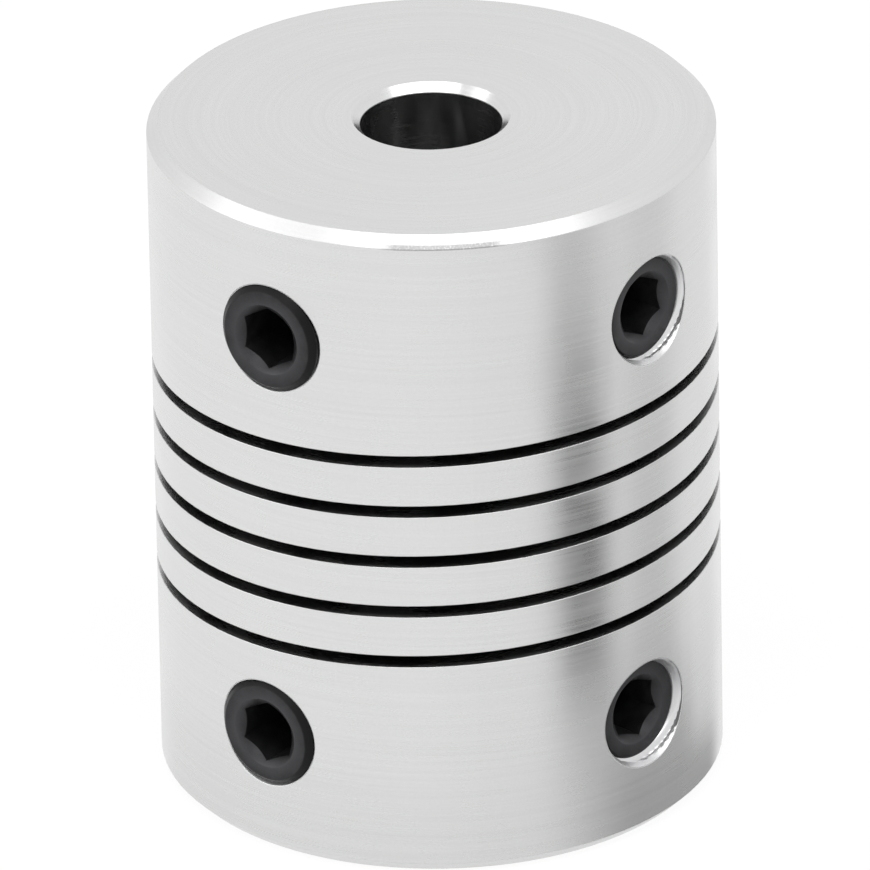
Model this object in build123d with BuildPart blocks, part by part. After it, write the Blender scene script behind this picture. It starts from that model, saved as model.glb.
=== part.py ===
"""Helical beam shaft coupling, 20 mm across and 24.8 mm long, for two 5 mm shafts.

One aluminium body holds both hubs and the spring between them: a single slot winds
round the middle and leaves a coiled beam that bends when the shafts are out of line.
Two hexagon socket set screws in each hub grip the shaft.

Millimetres, +Z up along the shaft axis, origin at the centre of the bottom end face.
Angles are degrees about +Z from +X, which runs midway between the top hub's two screws.
"""

from build123d import *
from math import cos, radians, sin
import os

# Body
outer_diameter = 20.0
overall_length = 24.8
end_chamfer = 0.4  # both outer corners

# Shaft bores, one in each hub
bore_diameter = 5.0
bore_seat_length = 7.0  # from the end face to the shoulder of the relief
bore_chamfer = 0.3
relief_depth = 0.75  # how far the bore steps out between the two seats

# Helical slot, right-handed, one start, halfway along the body
slot_width = 0.45
slot_turns = 5.0
slot_end_wall = 0.52  # from each shoulder of the relief to the middle of the slot's end
slot_middle_angle = 9.5  # where the slot crosses the middle of the length

# M4 set screws, two in each hub
thread_diameter = 4.0
thread_clearance = 0.03  # between the plain screw shank and the plain hole
screw_length = 6.0
screw_setback = 4.6  # from each end face to the screw axes
screw_spread = 85.0  # between the two screws of one hub
first_screw_angle = -screw_spread / 2
lower_hub_twist = -3.0  # of the bottom hub's screws, from the top hub's
key_width = 2.0  # across the flats of the socket
socket_depth = 2.5
socket_mouth_diameter = 2.5
socket_mouth_depth = 0.12
head_chamfer = 0.25
point_chamfer = 0.7
cup_diameter = 2.0
cup_taper = 59.0  # half the angle of the cup's cone
cup_depth = 0.5

# How far each screw's outer face stands from the shaft axis, and how its socket is turned
screw_settings = {
    "top_left_set_screw": (10.15, 30.0),
    "top_right_set_screw": (9.6, 34.0),
    "bottom_left_set_screw": (10.05, 27.0),
    "bottom_right_set_screw": (9.5, 40.0),
}

# Worked out from the sizes above
outer_radius = outer_diameter / 2
bore_radius = bore_diameter / 2
relief_radius = bore_radius + relief_depth
relief_length = overall_length - 2 * bore_seat_length
thread_radius = thread_diameter / 2
overcut = 1.0  # how far a cutting shape runs on past the surface that it opens

slot_bottom = bore_seat_length + slot_end_wall
slot_top = overall_length - slot_bottom
slot_height = slot_top - slot_bottom
slot_pitch = slot_height / slot_turns
slot_bottom_angle = slot_middle_angle - 360 * slot_turns / 2
slot_top_angle = slot_middle_angle + 360 * slot_turns / 2

top_screw_height = overall_length - screw_setback
bottom_screw_height = screw_setback
screw_places = {
    "top_left_set_screw": (first_screw_angle, top_screw_height),
    "top_right_set_screw": (first_screw_angle + screw_spread, top_screw_height),
    "bottom_left_set_screw": (first_screw_angle + lower_hub_twist, bottom_screw_height),
    "bottom_right_set_screw": (
        first_screw_angle + lower_hub_twist + screw_spread,
        bottom_screw_height,
    ),
}


def radial_plane(angle, height, radius=0.0):
    """A plane that faces straight out from the shaft axis, with its Y direction up."""
    outward = Vector(cos(radians(angle)), sin(radians(angle)), 0)
    tangent = Vector(-sin(radians(angle)), cos(radians(angle)), 0)
    origin = outward * radius + Vector(0, 0, height)
    return Plane(origin=origin, x_dir=tangent, z_dir=outward)


# The slot's cutter: a flat section that follows the helix, starting over +X. It reaches
# from inside the relief to outside the body, so that it leaves a flat-sided coil
slot_reach = outer_radius - relief_radius + 2 * overcut
slot_centre_radius = (outer_radius + relief_radius) / 2
with BuildPart() as slot_cutter:
    with BuildLine() as slot_path:
        Helix(slot_pitch, slot_height, slot_centre_radius, center=(0, 0, slot_bottom))
    with BuildSketch(Plane.XZ):
        with Locations((slot_centre_radius, slot_bottom)):
            Rectangle(slot_reach, slot_width)
    sweep(path=slot_path.line, is_frenet=True)

# The body: turned outside, bored from both ends, then slotted and drilled
with BuildPart() as coupling_body:
    with BuildSketch(Plane.XY):
        Circle(outer_radius)
    extrude(amount=overall_length)
    end_faces = coupling_body.faces().filter_by(Axis.Z)
    chamfer(end_faces.edges(), end_chamfer)

    with BuildSketch(Plane.XY):
        Circle(bore_radius)
    extrude(amount=overall_length, mode=Mode.SUBTRACT)
    end_faces = coupling_body.faces().filter_by(Axis.Z)
    bore_rims = end_faces.edges().filter_by(lambda rim: rim.radius < outer_radius / 2)
    chamfer(bore_rims, bore_chamfer)

    with BuildSketch(Plane.XY.offset(bore_seat_length)):
        Circle(relief_radius)
    extrude(amount=relief_length, mode=Mode.SUBTRACT)

    add(slot_cutter.part, rotation=(0, 0, slot_bottom_angle), mode=Mode.SUBTRACT)

    # the cutter leaves each end of the slot round
    for angle, height in ((slot_bottom_angle, slot_bottom), (slot_top_angle, slot_top)):
        with BuildSketch(radial_plane(angle, height)):
            Circle(slot_width / 2)
        extrude(amount=outer_radius + overcut, mode=Mode.SUBTRACT)

    for angle, height in screw_places.values():
        with BuildSketch(radial_plane(angle, height)):
            Circle(thread_radius + thread_clearance)
        extrude(amount=outer_radius + overcut, mode=Mode.SUBTRACT)

coupling_body.part.label = "coupling_body"

# The set screws: hexagon socket outside, cup point towards the shaft
set_screws = []
for name, (angle, height) in screw_places.items():
    face_radius, socket_turn = screw_settings[name]
    face_plane = radial_plane(angle, height, face_radius)
    point_plane = radial_plane(angle, height, face_radius - screw_length)
    with BuildPart() as set_screw:
        with BuildSketch(point_plane):
            Circle(thread_radius)
        extrude(amount=screw_length)
        outward = Axis((0, 0, height), face_plane.z_dir)
        end_faces = set_screw.faces().filter_by(outward).sort_by(outward)
        chamfer(end_faces[0].edges(), point_chamfer)
        chamfer(end_faces[-1].edges(), head_chamfer)

        with BuildSketch(face_plane):
            RegularPolygon(key_width / 2, 6, major_radius=False, rotation=socket_turn)
        extrude(amount=-socket_depth, mode=Mode.SUBTRACT)

        with BuildSketch(face_plane):
            Circle(socket_mouth_diameter / 2)
        with BuildSketch(face_plane.offset(-socket_mouth_depth)):
            Circle(key_width / 2)
        loft(mode=Mode.SUBTRACT)

        with BuildSketch(point_plane):
            Circle(cup_diameter / 2)
        extrude(amount=cup_depth, taper=cup_taper, mode=Mode.SUBTRACT)
    set_screw.part.label = name
    set_screws.append(set_screw.part)

# One STEP file for each piece
os.makedirs("parts", exist_ok=True)
for piece in [coupling_body.part] + set_screws:
    export_step(piece, f"parts/{piece.label}.step")
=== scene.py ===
"""Dresses a helical beam shaft coupling: a turned aluminium body and black hexagon socket set screws.

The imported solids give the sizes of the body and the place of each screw. The body keeps the shape
of its solid and gets a turned finish that also softens its edges. The set screws are made anew with
threads, sockets and rounded edges, and the screw holes get their tapped threads. Everything is in
metres, with +Z up along the shaft axis.
"""

from math import cos, pi, radians, sin

import bmesh
import bpy
import numpy as np
from bpy.props import FloatProperty, FloatVectorProperty, IntProperty, PointerProperty
from mathutils import Matrix, Vector


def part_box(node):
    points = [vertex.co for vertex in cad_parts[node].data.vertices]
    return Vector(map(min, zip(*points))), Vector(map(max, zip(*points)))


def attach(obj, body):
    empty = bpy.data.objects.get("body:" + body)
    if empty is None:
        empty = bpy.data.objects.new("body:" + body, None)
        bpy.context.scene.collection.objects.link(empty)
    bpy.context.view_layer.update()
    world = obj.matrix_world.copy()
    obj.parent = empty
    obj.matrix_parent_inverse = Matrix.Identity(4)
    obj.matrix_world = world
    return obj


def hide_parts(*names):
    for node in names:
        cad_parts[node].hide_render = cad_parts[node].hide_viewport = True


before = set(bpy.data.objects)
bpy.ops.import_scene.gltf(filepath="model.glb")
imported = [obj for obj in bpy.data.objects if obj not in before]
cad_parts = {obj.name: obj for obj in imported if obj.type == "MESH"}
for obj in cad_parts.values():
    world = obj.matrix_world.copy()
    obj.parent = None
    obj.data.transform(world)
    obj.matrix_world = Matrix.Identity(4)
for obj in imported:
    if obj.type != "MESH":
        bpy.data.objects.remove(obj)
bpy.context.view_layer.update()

bl_info = {
    "name": "Helical beam coupling",
    "version": (1, 0, 0),
    "blender": (4, 5, 0),
    "location": "3D View > Sidebar > Coupling",
    "description": "Dresses a helical beam shaft coupling and sets its studio stage",
    "category": "Object",
}

BODY_NODE = "coupling_body"
SCREW_NODES = sorted(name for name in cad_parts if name.endswith("_set_screw"))
MILLIMETRE = 0.001
WHITE = (1.0, 1.0, 1.0, 1.0)
END_CHAMFER = 0.4 * MILLIMETRE  # round both ends of the body
COIL_START = 7.2 * MILLIMETRE  # from either end of the body to its coiled part
CHAMFER_STREAK_DIRECTION = (0.996, -0.087, 0.0)  # bearing of a darker streak just under the top chamfer
UNSHADED_WALL_ANGLE = radians(-66)  # the side of a screw hole left without painted shade, from level

BODY_LOW, BODY_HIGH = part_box(BODY_NODE)
BODY_RADIUS = (BODY_HIGH.x - BODY_LOW.x) / 2
BODY_LENGTH = BODY_HIGH.z - BODY_LOW.z


# ---------------------------------------------------------------- settings


class CouplingThreadSettings(bpy.types.PropertyGroup):
    """Sizes of the set screws and of the threads that hold them"""

    pitch: FloatProperty(
        name="Thread pitch",
        description="Distance from one thread to the next, 0.7 mm for M4",
        default=0.7 * MILLIMETRE,
        unit="LENGTH",
    )
    depth: FloatProperty(
        name="Thread depth",
        description="Height of the screw's thread from root to crest",
        default=0.43 * MILLIMETRE,
        unit="LENGTH",
    )
    play: FloatProperty(
        name="Thread play",
        description="Radial gap between the screw's thread and the hole's",
        default=0.012 * MILLIMETRE,
        unit="LENGTH",
    )
    key_width: FloatProperty(
        name="Key width",
        description="Width across the flats of the hexagon socket",
        default=2.0 * MILLIMETRE,
        unit="LENGTH",
    )
    socket_depth: FloatProperty(
        name="Socket depth",
        description="Depth of the hexagon socket below the screw's outer face",
        default=2.5 * MILLIMETRE,
        unit="LENGTH",
    )
    mouth_radius: FloatProperty(
        name="Socket mouth radius",
        description="Radius of the countersunk mouth of the socket",
        default=1.32 * MILLIMETRE,
        unit="LENGTH",
    )
    head_chamfer: FloatProperty(
        name="Head chamfer",
        description="Chamfer round the outer face of a set screw",
        default=0.22 * MILLIMETRE,
        unit="LENGTH",
    )
    edge_round: FloatProperty(
        name="Edge round",
        description="Rounding of a set screw's edges",
        default=0.04 * MILLIMETRE,
        unit="LENGTH",
    )
    segments: IntProperty(
        name="Segments",
        description="Segments round a screw, a multiple of 12",
        default=120,
        min=24,
    )


class CouplingFinishSettings(bpy.types.PropertyGroup):
    """Colours and finishes of the two materials"""

    aluminium_colour: FloatVectorProperty(
        name="Aluminium colour",
        description="Base colour of the turned aluminium",
        default=(0.765, 0.768, 0.765),
        size=3,
        min=0.0,
        max=1.0,
        subtype="COLOR",
    )
    aluminium_roughness: FloatProperty(
        name="Aluminium roughness",
        description="Mean roughness of the turned aluminium",
        default=0.26,
        subtype="FACTOR",
        min=0.0,
        max=1.0,
    )
    aluminium_anisotropy: FloatProperty(
        name="Aluminium anisotropy",
        description="How far the turning marks stretch a highlight along the axis",
        default=0.55,
        subtype="FACTOR",
        min=0.0,
        max=1.0,
    )
    oxide_colour: FloatVectorProperty(
        name="Oxide colour",
        description="Base colour of the black oxide on the set screws",
        default=(0.03, 0.03, 0.032),
        size=3,
        min=0.0,
        max=1.0,
        subtype="COLOR",
    )
    oxide_roughness: FloatProperty(
        name="Oxide roughness",
        description="Mean roughness of the black oxide",
        default=0.38,
        subtype="FACTOR",
        min=0.0,
        max=1.0,
    )
    edge_softening: FloatProperty(
        name="Edge softening",
        description="Radius left on the body's edges after tumbling",
        default=0.05 * MILLIMETRE,
        unit="LENGTH",
    )


class CouplingStageSettings(bpy.types.PropertyGroup):
    """Camera, floor and lights"""

    camera_bearing: FloatProperty(
        name="Camera bearing",
        description="Direction of the camera about +Z, from +X",
        default=radians(-7.1),
        subtype="ANGLE",
    )
    camera_elevation: FloatProperty(
        name="Camera elevation",
        description="Height of the camera above the horizontal, as an angle",
        default=radians(26.43),
        subtype="ANGLE",
    )
    camera_roll: FloatProperty(
        name="Camera roll",
        description="Turn of the camera about its own line of sight",
        default=radians(-1.046),
        subtype="ANGLE",
    )
    camera_distance: FloatProperty(
        name="Camera distance",
        description="Distance from the camera to its target on the shaft axis",
        default=0.6563,
        unit="LENGTH",
    )
    camera_lens: FloatProperty(
        name="Camera lens",
        description="Focal length in millimetres on a 36 mm sensor",
        default=767.9,
    )
    camera_aside: FloatProperty(
        name="Camera offset",
        description="How far the camera stands to the left of the shaft axis",
        default=0.063 * MILLIMETRE,
        unit="LENGTH",
    )
    floor_colour: FloatVectorProperty(
        name="Floor colour",
        description="Colour of the floor",
        default=(0.86, 0.86, 0.86),
        size=3,
        min=0.0,
        max=1.0,
        subtype="COLOR",
    )
    floor_radius: FloatProperty(
        name="Floor radius",
        description="Radius of the round floor",
        default=1.5,
        unit="LENGTH",
    )


# ---------------------------------------------------------------- meshes


def frame_vertices(node):
    """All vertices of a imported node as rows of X, Y and Z."""
    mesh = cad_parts[node].data
    flat = np.empty(len(mesh.vertices) * 3, np.float32)
    mesh.vertices.foreach_get("co", flat)
    return flat.reshape(-1, 3).astype(float)


def bore_radius():
    """Radius of the shaft bore: the least distance of the body's points from the shaft axis."""
    points = frame_vertices(BODY_NODE)
    return np.hypot(points[:, 0], points[:, 1]).min()


class ScrewPlace:
    """Axis, height and ends of one set screw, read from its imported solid.

    The axis is level and points straight out from the shaft axis. Its bearing is the one at which
    the screw reaches equally far to both sides; the ends are the least and greatest reach along it.
    """

    def __init__(self, node):
        points = frame_vertices(node)
        low, high = points.min(0), points.max(0)
        middle = (low + high) / 2
        bearing = np.arctan2(middle[1], middle[0])
        reach = np.hypot(middle[0], middle[1])
        for _ in range(4):
            sideways = points[:, 1] * np.cos(bearing) - points[:, 0] * np.sin(bearing)
            bearing += (sideways.min() + sideways.max()) / 2 / reach
        along = points[:, 0] * np.cos(bearing) + points[:, 1] * np.sin(bearing)
        sideways = points[:, 1] * np.cos(bearing) - points[:, 0] * np.sin(bearing)
        self.height = middle[2]
        self.radius = (high[2] - low[2]) / 2
        self.bearing = bearing
        self.face = along.max()
        self.point = along.min()
        self.outward = np.array((np.cos(bearing), np.sin(bearing), 0.0))
        self.sideways = np.array((-np.sin(bearing), np.cos(bearing), 0.0))
        self.socket_turn = self.corner_angle(along, sideways, points[:, 2] - self.height)

    def corner_angle(self, along, sideways, up):
        """Angle of a corner of the socket: its floor lies deepest under the face near the axis."""
        shallowest, deepest = 0.6 * MILLIMETRE, 3.5 * MILLIMETRE
        widest = 0.75 * self.radius
        from_axis = np.hypot(sideways, up)
        depth = self.face - along
        floor = (depth > shallowest) & (depth < deepest) & (from_axis < widest)
        corner = np.argmax(np.where(floor, from_axis, 0.0))
        return np.arctan2(up[corner], sideways[corner])

    def to_frame(self, radius, along, angle):
        """Points at a radius and angle about the screw's axis, at a reach from the shaft axis."""
        across = (radius * np.cos(angle))[..., None] * self.sideways
        upward = (radius * np.sin(angle))[..., None] * np.array((0.0, 0.0, 1.0))
        outward = along[..., None] * self.outward
        return across + upward + outward + np.array((0.0, 0.0, self.height))


def grid_faces(rows, columns, close_rows):
    """Quads between neighbouring rows of a grid whose columns run round and close."""
    row = np.arange(rows if close_rows else rows - 1)[:, None]
    column = np.arange(columns)[None, :]
    next_row = (row + 1) % rows
    next_column = (column + 1) % columns
    corners = (
        row * columns + column,
        row * columns + next_column,
        next_row * columns + next_column,
        next_row * columns + column,
    )
    return np.stack(np.broadcast_arrays(*corners), -1).reshape(-1, 4)


def store_attribute(piece, name, values):
    """Keeps one number for each point of the piece's mesh, for its material to read."""
    attribute = piece.data.attributes.new(name, "FLOAT", "POINT")
    attribute.data.foreach_set("value", np.ascontiguousarray(values, np.float32).ravel())


def closed_mesh(name, grid, poles=None, sharp=radians(32)):
    """A mesh of grid points, closed by two pole points or by joining its last row to its first."""
    rows, columns = grid.shape[:2]
    points = grid.reshape(-1, 3)
    faces = grid_faces(rows, columns, poles is None).tolist()
    if poles is not None:
        points = np.vstack((points, poles))
        first, last = rows * columns, rows * columns + 1
        column = np.arange(columns)
        following = (column + 1) % columns
        start = np.stack((np.full(columns, first), following, column), -1)
        end_row = (rows - 1) * columns
        end = np.stack((np.full(columns, last), end_row + column, end_row + following), -1)
        faces += start.tolist() + end.tolist()
    mesh = bpy.data.meshes.new(name)
    mesh.from_pydata(points.tolist(), [], faces)
    work = bmesh.new()
    work.from_mesh(mesh)
    bmesh.ops.recalc_face_normals(work, faces=work.faces)
    work.to_mesh(mesh)
    work.free()
    mesh.shade_smooth()
    mesh.set_sharp_from_angle(angle=sharp)
    piece = bpy.data.objects.new(name, mesh)
    bpy.context.scene.collection.objects.link(piece)
    return piece


def smooth_step(value, start, end):
    """0 before start, 1 past end, and between them 3 t squared less 2 t cubed.

    A start above the end makes a step that falls as the value grows.
    """
    share = np.clip((value - start) / (end - start), 0.0, 1.0)
    return share * share * (3 - 2 * share)


def bell(value, middle, width):
    """1 at the middle, falling off as e to the minus square of the distance over the width."""
    return np.exp(-(((value - middle) / width) ** 2))


def thread_height(phase):
    """Height of a 60 degree thread, from 0 at the root to 1 at the crest, at a phase in turns.

    A triangle wave of the phase, scaled past its flats and clipped, so that crest and root are flat.
    """
    root_flat, flank = 0.14, 0.66
    wave = np.abs((phase % 1.0) * 2 - 1)
    return np.clip((wave - root_flat) / flank, 0.0, 1.0)


def hexagon_radius(angle, width, turn):
    """Distance from the centre of a hexagon to its edge. A corner points along turn.

    It is half the width across flats over the cosine of the angle from the nearest flat's middle.
    """
    from_corner = (angle - turn) % (pi / 3)
    return width / 2 / np.cos(from_corner - pi / 6)


def rounded_profile(corners, rounds, steps=4):
    """A profile through corner points, with each inner corner cut by a quadratic curve.

    The curve starts and ends a round's length from the corner, or two fifths of the shorter side.
    """
    longest_cut = 0.4
    corners = np.asarray(corners, float)
    rows = [corners[:1]]
    weights = np.linspace(0.0, 1.0, steps + 1)[:, None]
    for before, corner, after, size in zip(corners[:-2], corners[1:-1], corners[2:], rounds):
        back, forth = before - corner, after - corner
        back_length, forth_length = np.linalg.norm(back), np.linalg.norm(forth)
        cut = min(size, longest_cut * back_length, longest_cut * forth_length)
        start = corner + back * cut / back_length
        end = corner + forth * cut / forth_length
        toward_corner = 2 * weights * (1 - weights) * corner
        rows.append((1 - weights) ** 2 * start + toward_corner + weights**2 * end)
    rows.append(corners[-1:])
    return np.vstack(rows)


def make_set_screw(node, thread):
    """One set screw with a hexagon socket, a threaded shank and a cup point.

    The surface runs in rings from the middle of the cup, over the point's chamfer, along the shank,
    over the head's chamfer and face, and down the socket to the middle of its floor. Ring radius is
    the profile's radius, less the thread's depth where the thread is low; the last turn under the
    head runs out to the full radius. The socket's rings have the radius of a hexagon, and its mouth
    is a cone that meets each flat in a scallop.
    """
    place = ScrewPlace(node)
    count = thread.segments
    angle = place.socket_turn + np.arange(count) * 2 * pi / count
    major, point, face = place.radius, place.point, place.face
    chamfer, round_size = thread.head_chamfer, thread.edge_round

    cup_radius, cup_depth, cup_middle = 0.5 * major, 0.3 * major, 0.02 * major
    point_chamfer = 0.35 * major
    body = rounded_profile(
        [
            (point + cup_depth, cup_middle),
            (point, cup_radius),
            (point, major - point_chamfer),
            (point + point_chamfer, major),
        ],
        [round_size, round_size],
    )
    rows_each_turn = 16
    shank_start, shank_end = point + point_chamfer, face - chamfer
    shank_rows = int(round((shank_end - shank_start) / (thread.pitch / rows_each_turn)))
    shank = np.linspace(shank_start, shank_end, shank_rows + 1)[1:-1]
    shank = np.stack((shank, np.full(len(shank), major)), -1)
    mouth_fall, mouth_narrowing = 0.1 * major, 0.12 * major
    head = rounded_profile(
        [
            (face - chamfer, major),
            (face, major - chamfer),
            (face, thread.mouth_radius),
            (face - mouth_fall, thread.mouth_radius - mouth_narrowing),
        ],
        [round_size, round_size * 0.6],
    )[:-1]
    profile = np.vstack((body, shank, head))
    along = np.repeat(profile[:, :1], count, 1)
    radius = np.repeat(profile[:, 1:], count, 1)

    turns = angle / (2 * pi)
    crest = thread_height(along / thread.pitch - turns[None, :])
    run_out = smooth_step(along, shank_end, shank_end - thread.pitch)
    threaded = major - thread.depth * (1 - crest) * run_out
    radius = np.minimum(radius, threaded)

    hexagon = hexagon_radius(angle, thread.key_width, place.socket_turn)
    mouth_slope = 0.8
    mouth = (thread.mouth_radius - hexagon) * mouth_slope
    floor = np.full(count, thread.socket_depth)
    lip = 0.35 * round_size
    socket = (
        # radius of a ring, its depth under the face
        (hexagon + lip, mouth - lip * mouth_slope),
        (hexagon + 0.3 * lip, mouth + 0.3 * lip),
        (hexagon, mouth + 1.5 * lip),
        (hexagon, 0.5 * floor),
        (hexagon, floor - 0.02 * major),
        (0.97 * hexagon, floor),
        (0.5 * hexagon, floor + 0.22 * major),
        (0.04 * hexagon, floor + 0.4 * major),
    )
    socket_radius, socket_depth = zip(*socket)
    radius = np.vstack((radius, np.array(socket_radius)))
    along = np.vstack((along, face - np.array(socket_depth)))
    grid = place.to_frame(radius, along, np.broadcast_to(angle, radius.shape))
    nothing = np.zeros(2)
    ends = place.to_frame(nothing, np.array((along[0, 0], along[-1, 0])), nothing)
    screw = closed_mesh(node + "_threaded", grid, ends)

    outside = along > face - 3 * chamfer
    # painted shade: the outer chamfer of the head is darkened near black, where it lies in shade under the
    # hole's rim
    painted_shade = smooth_step(radius, major - 1.15 * chamfer, major - 0.8 * chamfer) * outside
    # painted highlight: a paler ring round the socket's mouth, where its countersink catches the light
    painted_mouth_highlight = bell(radius, thread.mouth_radius, 0.09 * MILLIMETRE) * outside
    store_attribute(screw, "painted_shade", np.append(painted_shade, nothing))
    store_attribute(screw, "painted_mouth_highlight", np.append(painted_mouth_highlight, nothing))
    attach(screw, "root")
    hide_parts(node)
    return screw


def make_tapped_wall(node, thread):
    """The thread of one screw hole: a thin tube whose inner wall is the screw's thread plus play.

    The tube runs from the shaft bore to the body's outer surface. Both ends follow those cylinders:
    at a sideways distance a from the hole's axis, a cylinder of radius R lies at a reach of the
    square root of R squared less a squared. A small countersink opens the outer end. Its material
    is darkened with painted shade, except near the mouth and on one side of the hole.
    """
    place = ScrewPlace(node)
    count, rows = thread.segments, 190
    angle = np.arange(count) * 2 * pi / count
    wall = place.radius + 0.028 * MILLIMETRE
    margin = 0.01 * MILLIMETRE
    bore = bore_radius()
    sideways = wall * np.cos(angle)
    outer = np.sqrt((BODY_RADIUS - margin) ** 2 - sideways**2)
    inner = np.sqrt((bore + margin) ** 2 - np.clip(sideways, -bore, bore) ** 2)
    share = np.linspace(0.0, 1.0, rows)[:, None]
    along = inner + (outer - inner) * share
    depth = outer - along
    crest = thread_height(along / thread.pitch - (angle / (2 * pi))[None, :])
    widest = place.radius + thread.play
    threaded = widest - thread.depth * (1 - crest)
    countersink_slope = 0.5
    radius = np.maximum(threaded, widest - depth * countersink_slope)
    radius = np.vstack((radius, np.full((2, count), wall)))
    along = np.vstack((along, outer[None, :], inner[None, :]))
    grid = place.to_frame(radius, along, np.broadcast_to(angle, radius.shape))
    tube = closed_mesh(node.replace("_set_screw", "_tapped_wall"), grid)

    # painted shade: the tapped wall is darkened from just inside its mouth, except on one side of the hole,
    # which stays bright
    from_unshaded_side = np.abs((angle - UNSHADED_WALL_ANGLE + pi) % (2 * pi) - pi)
    unshaded_side = smooth_step(from_unshaded_side, radians(44), radians(20))
    painted_shade = smooth_step(depth, 0.02 * MILLIMETRE, 0.06 * MILLIMETRE) * (1 - unshaded_side)
    store_attribute(tube, "painted_shade", np.vstack((painted_shade, np.zeros((2, count)))))
    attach(tube, "root")
    return tube


# ---------------------------------------------------------------- materials


class NodeBench:
    """Adds nodes to the tree of one material or world and joins them."""

    def __init__(self, owner):
        self.owner = owner
        owner.use_nodes = True
        self.tree = owner.node_tree
        self.tree.nodes.clear()

    def add(self, kind, inputs=None, **settings):
        """A node. Each input is joined when it is given a socket, and set when given a value."""
        node = self.tree.nodes.new(kind)
        for key, value in settings.items():
            setattr(node, key, value)
        for key, value in (inputs or {}).items():
            if isinstance(value, bpy.types.NodeSocket):
                self.tree.links.new(value, node.inputs[key])
            else:
                node.inputs[key].default_value = value
        return node

    def math(self, operation, first, second=0.0):
        return self.add("ShaderNodeMath", {0: first, 1: second}, operation=operation).outputs[0]

    def vector(self, operation, inputs):
        return self.add("ShaderNodeVectorMath", inputs, operation=operation)

    def mix(self, factor, first, second):
        """A colour between two. The Mix node's colour sockets are its seventh and eighth."""
        inputs = {"Factor": factor, 6: first, 7: second}
        return self.add("ShaderNodeMix", inputs, data_type="RGBA").outputs[2]

    def ramp(self, factor, low, high, to_low=0.0, to_high=1.0):
        inputs = {0: factor, 1: low, 2: high, 3: to_low, 4: to_high}
        return self.add("ShaderNodeMapRange", inputs).outputs[0]

    def noise(self, place, scale, detail, roughness):
        inputs = {"Vector": place, "Scale": scale, "Detail": detail, "Roughness": roughness}
        return self.add("ShaderNodeTexNoise", inputs).outputs["Fac"]

    def attribute(self, name):
        return self.add("ShaderNodeAttribute", attribute_name=name).outputs["Fac"]

    def millimetres(self):
        """The place of a point in millimetres."""
        place = self.add("ShaderNodeTexCoord").outputs["Object"]
        return self.vector("SCALE", {0: place, "Scale": 1 / MILLIMETRE}).outputs[0]

    def finish(self, shader, output="ShaderNodeOutputMaterial"):
        """Joins the shader to the output and gives back the material or world."""
        self.add(output, {"Surface": shader.outputs[0]})
        return self.owner


def tinted(colour, factor):
    """A colour made lighter or darker by a factor, with its alpha."""
    return tuple(min(1.0, channel * factor) for channel in colour) + (1.0,)


def polar_parts(bench, place):
    """Sockets for a point's unit direction from the shaft axis, its distance from it and its height."""
    x, y, z = bench.add("ShaderNodeSeparateXYZ", {0: place}).outputs
    flat = bench.add("ShaderNodeCombineXYZ", {0: x, 1: y}).outputs[0]
    length = bench.vector("LENGTH", {0: flat}).outputs["Value"]
    return bench.vector("NORMALIZE", {0: flat}).outputs[0], length, z


def turning_marks(bench, unit, radius, height):
    """Noise that varies slowly round the axis and quickly with the radius and the height."""
    round_axis, across = 0.6, 9.0
    around = bench.vector("SCALE", {0: unit, "Scale": round_axis}).outputs[0]
    around_x, around_y, _ = bench.add("ShaderNodeSeparateXYZ", {0: around}).outputs
    tall = bench.math("MULTIPLY", height, across)
    wide = bench.math("MULTIPLY", radius, across)
    place = bench.add("ShaderNodeCombineXYZ", {0: around_x, 1: around_y, 2: tall}).outputs[0]
    return bench.add(
        "ShaderNodeTexNoise",
        {"Vector": place, "W": wide, "Scale": 1.0, "Detail": 4.0, "Roughness": 0.65},
        noise_dimensions="4D",
    ).outputs["Fac"]


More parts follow.
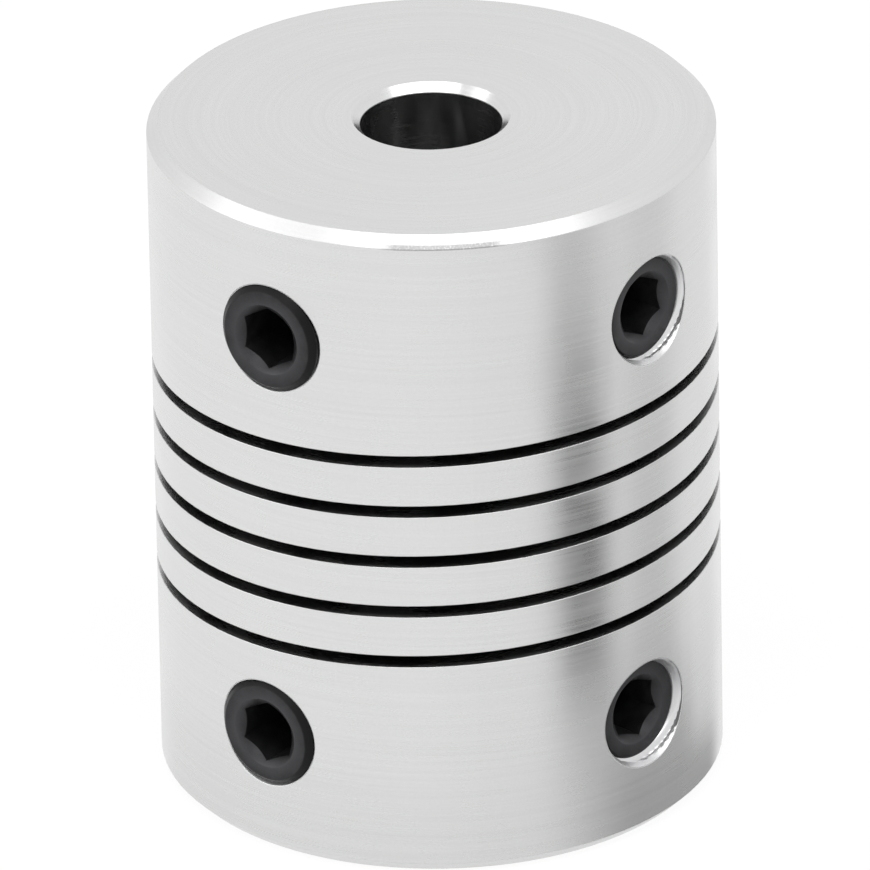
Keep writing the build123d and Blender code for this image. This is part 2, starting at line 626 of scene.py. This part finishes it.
def turned_aluminium(finish):
    """Bright turned aluminium: fine circular tool marks, slight banding and a few small scuffs.

    The end chamfers are rougher, the bore and the slot are darkened with painted shade, a darker
    streak lies at one bearing just under the top chamfer, and one attribute paints shade on the
    tapped threads. Highlights are stretched along the shaft axis, across the marks. Sizes in the
    ramps are in millimetres.
    """
    bench = NodeBench(bpy.data.materials.new("turned_aluminium"))
    place = bench.millimetres()
    unit, radius, height = polar_parts(bench, place)
    marks = turning_marks(bench, unit, radius, height)
    patches = bench.noise(place, 0.35, 2.0, 0.5)
    grain = bench.noise(place, 14.0, 2.0, 0.6)
    rim, top = BODY_RADIUS / MILLIMETRE, BODY_LENGTH / MILLIMETRE
    chamfer, coil = END_CHAMFER / MILLIMETRE, COIL_START / MILLIMETRE
    bore = bore_radius() / MILLIMETRE

    mark_rough = bench.ramp(marks, 0.3, 0.7, -0.03, 0.03)
    patch_rough = bench.ramp(patches, 0.35, 0.65, -0.04, 0.04)
    uneven = bench.math("ADD", mark_rough, patch_rough)
    roughness = bench.math("ADD", uneven, finish.aluminium_roughness)
    at_corner = bench.ramp(radius, rim - chamfer - 0.02, rim - chamfer + 0.04)
    by_top = bench.ramp(height, top - chamfer - 0.02, top - chamfer + 0.02)
    by_bottom = bench.ramp(height, chamfer + 0.02, chamfer - 0.02)
    on_chamfer = bench.math("MULTIPLY", at_corner, bench.math("MAXIMUM", by_top, by_bottom))
    chamfer_rough = 0.16
    roughness = bench.math("ADD", roughness, bench.math("MULTIPLY", on_chamfer, chamfer_rough))

    dark, light = tinted(finish.aluminium_colour, 0.94), tinted(finish.aluminium_colour, 1.03)
    tone = bench.math("ADD", bench.math("MULTIPLY", marks, 0.6), bench.math("MULTIPLY", grain, 0.4))
    colour = bench.mix(bench.ramp(tone, 0.3, 0.7), dark, light)

    # a darker streak at one bearing, just under the top chamfer
    toward_chamfer_streak = bench.vector("DOT_PRODUCT", {0: unit, 1: CHAMFER_STREAK_DIRECTION}).outputs["Value"]
    chamfer_streak_height = top - chamfer + 0.04
    from_edge = bench.math("ABSOLUTE", bench.math("SUBTRACT", height, chamfer_streak_height))
    chamfer_streak_length, chamfer_streak_width = bench.ramp(toward_chamfer_streak, 0.972, 0.985), bench.ramp(from_edge, 0.1, 0.06)
    chamfer_streak = bench.math("MULTIPLY", chamfer_streak_length, chamfer_streak_width)
    chamfer_streak = bench.math("MULTIPLY", chamfer_streak, bench.ramp(grain, 0.3, 0.5, 0.5, 1.0))
    chamfer_streak_colour = (0.36, 0.36, 0.36, 1.0)
    colour = bench.mix(chamfer_streak, colour, chamfer_streak_colour)

    # painted shade: the bore and the walls of the slot are darkened in colour where shade falls in them
    in_bore = bench.ramp(radius, bore + 0.015, bore + 0.005)
    under_skin = bench.ramp(radius, rim - 0.1, rim - 0.3)
    above = bench.ramp(height, coil, coil + 0.1)
    below = bench.ramp(height, top - coil, top - coil - 0.1)
    in_slot = bench.math("MULTIPLY", bench.math("MULTIPLY", above, below), under_skin)
    painted_recess_shade = bench.math("MAXIMUM", in_bore, in_slot)
    colour = bench.mix(painted_recess_shade, colour, tinted(finish.aluminium_colour, 0.45))
    # painted shade: the tapped walls are darkened where their attribute is 1
    painted_shade_colour = (0.03, 0.03, 0.03, 1.0)
    colour = bench.mix(bench.attribute("painted_shade"), colour, painted_shade_colour)

    relief = bench.math("ADD", marks, bench.math("MULTIPLY", grain, 0.25))
    soft_edges = bench.add("ShaderNodeBevel", {"Radius": finish.edge_softening}, samples=6).outputs[0]
    bump = bench.add(
        "ShaderNodeBump",
        {"Height": relief, "Strength": 0.07, "Distance": 0.02 * MILLIMETRE, "Normal": soft_edges},
    )
    tangent = bench.vector("CROSS_PRODUCT", {0: (0.0, 0.0, 1.0), 1: unit}).outputs[0]
    return bench.finish(
        bench.add(
            "ShaderNodeBsdfPrincipled",
            {
                "Base Color": colour,
                "Metallic": 1.0,
                "Roughness": roughness,
                "Anisotropic": finish.aluminium_anisotropy,
                "Anisotropic Rotation": 0.25,
                "Normal": bump.outputs[0],
                "Tangent": tangent,
            },
        )
    )


def black_oxide_steel(finish):
    """Black oxide over machined steel: a dark sheen and fine grain.

    One attribute paints a paler ring on the socket's mouth as a painted highlight, and another
    paints the head's outer chamfer near black as painted shade.
    """
    bench = NodeBench(bpy.data.materials.new("black_oxide_steel"))
    place = bench.millimetres()
    cloud = bench.noise(place, 1.6, 3.0, 0.55)
    grain = bench.noise(place, 22.0, 2.0, 0.6)
    oxide = finish.oxide_colour
    tone = bench.ramp(bench.math("ADD", bench.math("MULTIPLY", grain, 0.5), cloud), 0.5, 1.0)
    colour = bench.mix(tone, tinted(oxide, 0.7), tinted(oxide, 1.5))
    # painted highlight: a paler ring on the socket's mouth
    painted_mouth_highlight = bench.math("MULTIPLY", bench.attribute("painted_mouth_highlight"), 0.7)
    colour = bench.mix(painted_mouth_highlight, colour, tinted(oxide, 2.2))
    # painted shade: the head's outer chamfer is darkened near black
    painted_shade_colour = (0.004, 0.004, 0.004, 1.0)
    colour = bench.mix(bench.attribute("painted_shade"), colour, painted_shade_colour)
    rough = finish.oxide_roughness
    roughness = bench.ramp(cloud, 0.3, 0.7, rough - 0.06, rough + 0.08)
    bump = bench.add(
        "ShaderNodeBump", {"Height": grain, "Strength": 0.1, "Distance": 0.02 * MILLIMETRE}
    )
    return bench.finish(
        bench.add(
            "ShaderNodeBsdfPrincipled",
            {
                "Base Color": colour,
                "Metallic": 0.7,
                "Roughness": roughness,
                "Normal": bump.outputs[0],
            },
        )
    )


def pale_floor(colour):
    """A matt floor that the camera sees as nearly white, with the object's soft shadow kept."""
    bench = NodeBench(bpy.data.materials.new("pale_floor"))
    matt = bench.add("ShaderNodeBsdfDiffuse", {"Color": tuple(colour) + (1.0,)})
    paths = bench.add("ShaderNodeLightPath").outputs
    seen_level, mirrored_level, glow_share = 1.05, 0.97, 0.85
    strength = bench.ramp(paths["Is Glossy Ray"], 0.0, 1.0, seen_level, mirrored_level)
    glow = bench.add("ShaderNodeEmission", {"Color": WHITE, "Strength": strength})
    seen = bench.math("MAXIMUM", paths["Is Camera Ray"], paths["Is Glossy Ray"])
    seen = bench.math("MULTIPLY", seen, glow_share)
    return bench.finish(
        bench.add("ShaderNodeMixShader", {0: seen, 1: matt.outputs[0], 2: glow.outputs[0]})
    )


def shade_card_paint():
    """Dark where the attribute "shade" is 1 and clear where it is 0."""
    bench = NodeBench(bpy.data.materials.new("shade_card"))
    dark_colour = (0.04, 0.04, 0.04, 1.0)
    clear = bench.add("ShaderNodeBsdfTransparent").outputs[0]
    dark = bench.add("ShaderNodeEmission", {"Color": dark_colour, "Strength": 1.0}).outputs[0]
    return bench.finish(
        bench.add("ShaderNodeMixShader", {0: bench.attribute("shade"), 1: clear, 2: dark})
    )


# ---------------------------------------------------------------- operators


class COUPLING_OT_body(bpy.types.Operator):
    """Give the coupling's body its turned aluminium finish"""

    bl_idname = "coupling.body"
    bl_label = "Finish the body"

    def execute(self, context):
        finish = context.scene.coupling_finish
        material = turned_aluminium(finish)
        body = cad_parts[BODY_NODE]
        for slot in body.material_slots:
            slot.material = material
        return {"FINISHED"}


class COUPLING_OT_set_screws(bpy.types.Operator):
    """Add the four threaded set screws with hexagon sockets"""

    bl_idname = "coupling.set_screws"
    bl_label = "Add the set screws"

    def execute(self, context):
        scene = context.scene
        material = black_oxide_steel(scene.coupling_finish)
        for node in SCREW_NODES:
            screw = make_set_screw(node, scene.coupling_thread)
            screw.data.materials.append(material)
        return {"FINISHED"}


class COUPLING_OT_tapped_walls(bpy.types.Operator):
    """Add the threads inside the four screw holes"""

    bl_idname = "coupling.tapped_walls"
    bl_label = "Tap the screw holes"

    def execute(self, context):
        scene = context.scene
        material = bpy.data.materials.get("turned_aluminium")
        if material is None:
            raise RuntimeError("finish the body first: its material is missing")
        for node in SCREW_NODES:
            tube = make_tapped_wall(node, scene.coupling_thread)
            tube.data.materials.append(material)
        return {"FINISHED"}


def polar_point(bearing, reach, height):
    """A point at a bearing from +X, a distance from the shaft axis and a height."""
    return Vector((reach * cos(bearing), reach * sin(bearing), height))


def stand_softbox(name, place, target, size, brightness):
    """A soft light. Its power is brightness times pi times its area, so its face glows at that level."""
    lamp = bpy.data.lights.new(name, "AREA")
    lamp.shape = "RECTANGLE"
    lamp.size, lamp.size_y = size
    lamp.energy = brightness * pi * size[0] * size[1]
    holder = bpy.data.objects.new(name, lamp)
    holder.location = place
    holder.rotation_euler = (place - target).to_track_quat("Z", "Y").to_euler()
    bpy.context.scene.collection.objects.link(holder)


def card_shade(angle, height):
    """How much of the floor's light the card holds back, from 0 for none to 1 for all.

    The angle is in degrees from the camera's bearing and the height in millimetres up the body. The
    light left is the product of what each shade lets through: a dark streak, a dimmer band round it
    with a paler strip, a shade about the foot, a gentle one over the right half, and one where the
    body meets the floor. All of them fade out at the card's edge.
    """
    streak_angle, streak_width, streak_depth = 30.3, 4.4, 1.6
    strip_angle, strip_width, strip_depth = 40.0, 3.5, 0.6
    band_depth, foot_depth, gentle_depth, contact_depth = 0.3, 0.52, 0.07, 0.08

    streak = np.clip(streak_depth * bell(angle, streak_angle, streak_width), 0.0, 1.0)
    streak = streak * smooth_step(height, 6.0, 9.5) * smooth_step(height, 21.5, 15.5)
    band = smooth_step(angle, 19.0, 28.0) * smooth_step(angle, 60.0, 52.0)
    band = band * smooth_step(height, 2.0, 8.0) * (1 - 0.5 * smooth_step(height, 16.5, 21.0))
    band = band * (1 - strip_depth * bell(angle, strip_angle, strip_width))
    foot = smooth_step(angle, 16.0, 45.0) * smooth_step(height, 9.0, 2.0)
    foot = foot * (1 - 0.75 * smooth_step(angle, 58.0, 66.0) * smooth_step(height, 1.0, 3.0))
    gentle = smooth_step(angle, -8.0, 20.0)
    contact = smooth_step(height, 6.0, 0.5)
    light = (1 - streak) * (1 - band_depth * band) * (1 - foot_depth * foot)
    light = light * (1 - gentle_depth * gentle) * (1 - contact_depth * contact)
    edge = smooth_step(np.abs(angle), 80.0, 72.0) * smooth_step(height, 120.0, 60.0)
    return (1 - light) * edge


def lay_shade_card(bearing, elevation):
    """A soft-edged grey card flat on the floor, seen only in polished metal.

    Its grid follows the mirror line of the body. A point of the body at an angle a from the camera's
    bearing and at a height h shows the floor at a distance h over the tangent of the elevation, in
    the direction of twice a. The attribute "shade" says how much of the floor's light is held back.
    """
    turn = np.radians(np.linspace(-80.0, 80.0, 161))[None, :]
    beside_body, beyond = np.linspace(0.02, 26.0, 53), np.linspace(30.0, 120.0, 19)
    height = np.concatenate((beside_body, beyond))[:, None]
    start = BODY_RADIUS * 1.01
    away = height * MILLIMETRE / np.tan(elevation)
    near, far = bearing + turn, bearing + 2 * turn
    x = start * np.cos(near) + away * np.cos(far)
    y = start * np.sin(near) + away * np.sin(far)
    lift = 0.02 * MILLIMETRE
    points = np.stack((x, y, np.full_like(x, BODY_LOW.z + lift)), -1)

    mesh = bpy.data.meshes.new("shade_card")
    rows, columns = x.shape
    row, column = np.arange(rows - 1)[:, None], np.arange(columns - 1)[None, :]
    corner = row * columns + column
    faces = np.stack((corner, corner + 1, corner + columns + 1, corner + columns), -1)
    mesh.from_pydata(points.reshape(-1, 3).tolist(), [], faces.reshape(-1, 4).tolist())
    mesh.materials.append(shade_card_paint())
    card = bpy.data.objects.new("shade_card", mesh)
    store_attribute(card, "shade", card_shade(np.degrees(turn), height))
    bpy.context.scene.collection.objects.link(card)
    card.visible_camera = False
    card.visible_shadow = False
    card.visible_diffuse = False


class COUPLING_OT_stage(bpy.types.Operator):
    """Set up the floor, the white surroundings, the soft lights and the camera"""

    bl_idname = "coupling.stage"
    bl_label = "Set the stage"

    def execute(self, context):
        stage = context.scene.coupling_stage
        self.lay_floor(stage)
        self.light_world(context.scene)
        self.stand_lights(stage)
        self.stand_camera(context.scene, stage)
        context.scene.view_settings.view_transform = "Standard"
        return {"FINISHED"}

    def lay_floor(self, stage):
        """A flat disc under the coupling: a ring of points round its middle, joined as one face."""
        sides, gap = 96, 0.01 * MILLIMETRE
        angle = np.arange(sides) * 2 * pi / sides
        ring = np.stack((np.cos(angle), np.sin(angle), np.zeros(sides)), -1) * stage.floor_radius
        ring[:, 2] = BODY_LOW.z - gap
        mesh = bpy.data.meshes.new("floor")
        mesh.from_pydata(ring.tolist(), [], [list(range(sides))])
        mesh.materials.append(pale_floor(stage.floor_colour))
        floor = bpy.data.objects.new("floor", mesh)
        bpy.context.scene.collection.objects.link(floor)

    def light_world(self, scene):
        """Even white surroundings: full white where seen, a little less where mirrored, softer as light."""
        lit_level, mirrored_level = 0.6, 0.9
        bench = NodeBench(bpy.data.worlds.new("white_surroundings"))
        paths = bench.add("ShaderNodeLightPath").outputs
        seen = bench.math("MAXIMUM", paths["Is Camera Ray"], paths["Is Transmission Ray"])
        unseen = bench.ramp(paths["Is Glossy Ray"], 0.0, 1.0, lit_level, mirrored_level)
        strength = bench.math("MAXIMUM", seen, unseen)
        background = bench.add("ShaderNodeBackground", {"Color": WHITE, "Strength": strength})
        scene.world = bench.finish(background, "ShaderNodeOutputWorld")

    def stand_lights(self, stage):
        """A wide light above the camera, one to its left, and a grey card on the floor to its right."""
        middle = Vector((0.0, 0.0, BODY_LENGTH / 2))
        bearing = stage.camera_bearing
        high = polar_point(bearing + radians(14), reach=0.18, height=0.40)
        stand_softbox("high_softbox", high, middle, size=(0.54, 0.30), brightness=1.7)
        left = polar_point(bearing - radians(80), reach=0.40, height=0.22)
        stand_softbox("left_softbox", left, middle, size=(0.34, 0.34), brightness=1.0)
        lay_shade_card(bearing, stage.camera_elevation)

    def stand_camera(self, scene, stage):
        """A long lens that looks at a point of the shaft axis just below the coupling's middle."""
        bearing, elevation, roll = stage.camera_bearing, stage.camera_elevation, stage.camera_roll
        flat = cos(elevation)
        back = Vector((flat * cos(bearing), flat * sin(bearing), sin(elevation)))
        level = Vector((-sin(bearing), cos(bearing), 0.0))
        upright = back.cross(level)
        right = cos(roll) * level + sin(roll) * upright
        up = cos(roll) * upright - sin(roll) * level
        target = Vector((0.0, 0.0, 0.495 * BODY_LENGTH))
        place = target + back * stage.camera_distance - right * stage.camera_aside
        lens = bpy.data.cameras.new("camera")
        lens.lens = stage.camera_lens
        lens.sensor_width = 36.0
        lens.clip_start, lens.clip_end = 0.05, 10.0
        camera = bpy.data.objects.new("camera", lens)
        turn = Matrix((right, up, back)).transposed().to_4x4()
        camera.matrix_world = Matrix.Translation(place) @ turn
        scene.collection.objects.link(camera)
        scene.camera = camera


class COUPLING_PT_panel(bpy.types.Panel):
    """Lists the steps that dress the coupling"""

    bl_idname = "COUPLING_PT_panel"
    bl_label = "Helical beam coupling"
    bl_space_type = "VIEW_3D"
    bl_region_type = "UI"
    bl_category = "Coupling"

    def draw(self, context):
        for operator in OPERATORS:
            self.layout.operator(operator.bl_idname)
        for group in ("coupling_thread", "coupling_finish", "coupling_stage"):
            settings = getattr(context.scene, group)
            box = self.layout.box()
            for name in settings.bl_rna.properties.keys():
                if name not in ("rna_type", "name"):
                    box.prop(settings, name)


SETTINGS = {
    "coupling_thread": CouplingThreadSettings,
    "coupling_finish": CouplingFinishSettings,
    "coupling_stage": CouplingStageSettings,
}
OPERATORS = (
    COUPLING_OT_body,
    COUPLING_OT_set_screws,
    COUPLING_OT_tapped_walls,
    COUPLING_OT_stage,
)


def register():
    for name, group in SETTINGS.items():
        bpy.utils.register_class(group)
        setattr(bpy.types.Scene, name, PointerProperty(type=group))
    for operator in OPERATORS:
        bpy.utils.register_class(operator)
    bpy.utils.register_class(COUPLING_PT_panel)


def unregister():
    bpy.utils.unregister_class(COUPLING_PT_panel)
    for operator in reversed(OPERATORS):
        bpy.utils.unregister_class(operator)
    for name, group in reversed(SETTINGS.items()):
        delattr(bpy.types.Scene, name)
        bpy.utils.unregister_class(group)


def main():
    """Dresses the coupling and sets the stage."""
    register()
    bpy.ops.coupling.body()
    bpy.ops.coupling.set_screws()
    bpy.ops.coupling.tapped_walls()
    bpy.ops.coupling.stage()


if __name__ == "__main__":
    main()
